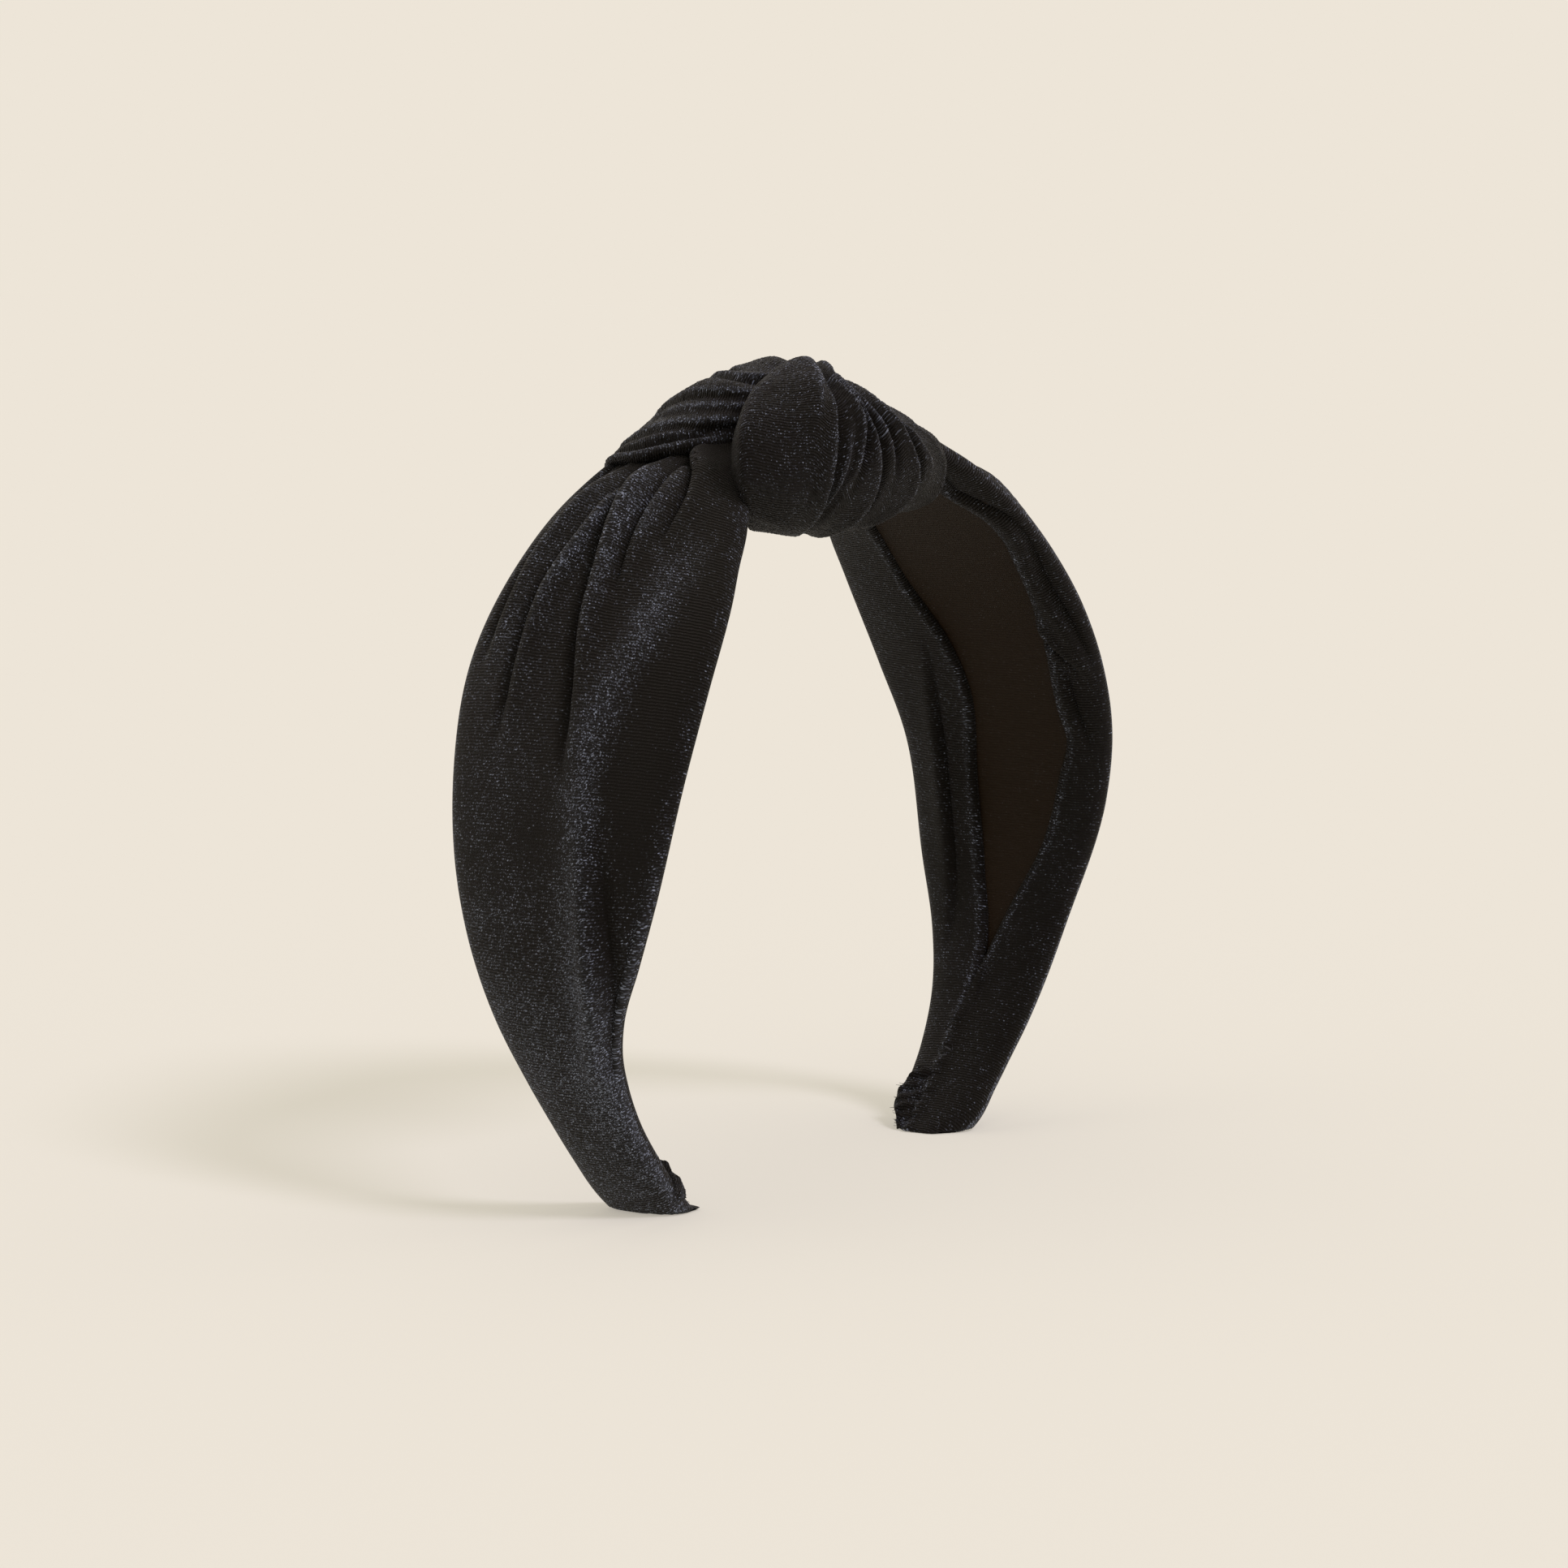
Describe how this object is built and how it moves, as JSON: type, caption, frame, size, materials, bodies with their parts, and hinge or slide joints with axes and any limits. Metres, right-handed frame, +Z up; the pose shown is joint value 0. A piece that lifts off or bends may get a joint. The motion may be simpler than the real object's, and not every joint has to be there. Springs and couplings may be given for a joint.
{
  "type": "knotted headband",
  "caption": "Sprung hoop headband covered in dark pleated velvet, with wide wings down the sides and a fat two-loop knot on top.",
  "frame": {"origin": "on the floor midway between the two tips, under the middle of the hoop", "axes": "+Z up through the knot; the hoop lies in the XZ plane with the left arm at -X and the right arm at +X; -Y is the front, where the knot's front loop hangs over the band's edge"},
  "size_m": [0.1618, 0.06, 0.1628],
  "materials": {
    "velvet": "short cut pile stretch velvet, near-black navy, soft sheen at grazing angles",
    "lining": "flat dark velvet ribbon, matte",
    "core_plastic": "moulded black polypropylene, satin",
    "foam": "thin dark polyurethane foam sheet",
    "thread": "spun polyester sewing thread"
  },
  "bodies": {
    "crown": {"core_crown": "core_plastic", "foam_crown": "foam", "lining_crown": "lining", "cover_crown": "velvet", "knot_front_loop": "velvet", "knot_rear_loop": "velvet", "knot_tack_stitches": "thread"},
    "left_arm": {"core_left_arm": "core_plastic", "foam_left_arm": "foam", "lining_left_arm": "lining", "cover_left_wing": "velvet", "tip_fold_left": "velvet", "seam_stitches_left": "thread"},
    "right_arm": {"core_right_arm": "core_plastic", "foam_right_arm": "foam", "lining_right_arm": "lining", "cover_right_wing": "velvet", "tip_fold_right": "velvet", "seam_stitches_right": "thread"}
  },
  "joints": [
    {"name": "left_arm_flex", "type": "hinge", "parent": "crown", "child": "left_arm", "pos_m": [-0.049, 0, 0.12642], "axis": [0, 1, 0], "range_deg": [-3, 10], "stiffness_Nm_per_rad": 1.5},
    {"name": "right_arm_flex", "type": "hinge", "parent": "crown", "child": "right_arm", "pos_m": [0.049, 0, 0.12642], "axis": [0, -1, 0], "range_deg": [-3, 10], "stiffness_Nm_per_rad": 1.5}
  ]
}
